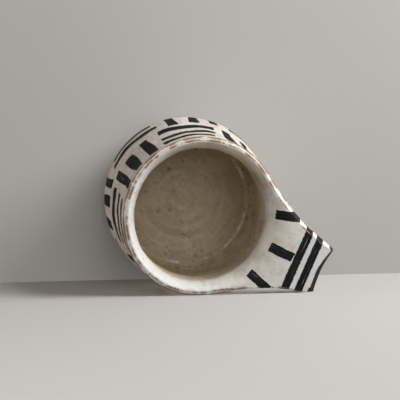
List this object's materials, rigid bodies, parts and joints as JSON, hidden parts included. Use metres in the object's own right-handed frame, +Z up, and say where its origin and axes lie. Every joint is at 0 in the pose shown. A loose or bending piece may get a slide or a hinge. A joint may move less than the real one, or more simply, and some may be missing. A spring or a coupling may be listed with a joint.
{
  "type": "mug",
  "caption": "Hand-built stoneware mug with a full low belly, a thick rolled lip and a flat tab handle flush with the rim, open at the top and standing on a flat bare foot.",
  "frame": {"origin": "centre of the flat foot, on the surface that the mug stands on", "axes": "+Z up the axis of the cup, -X along the tab handle, XZ the plane of symmetry"},
  "size_m": [0.1215, 0.094, 0.08],
  "materials": {
    "bare_clay": "matt, unglazed iron-bearing stoneware",
    "white_slip": "satin white slip with brushed black pigment, worn brown on the edges",
    "liner_glaze": "satin beige glaze with iron specks"
  },
  "bodies": {
    "root": {"base_slab": "bare_clay", "cup_wall": "bare_clay", "floor_corner_coil": "bare_clay", "lip_coil": "white_slip", "tab_handle": "white_slip", "tab_luting_coil": "white_slip", "slip_coat": "white_slip", "liner_glaze": "liner_glaze"}
  },
  "joints": []
}
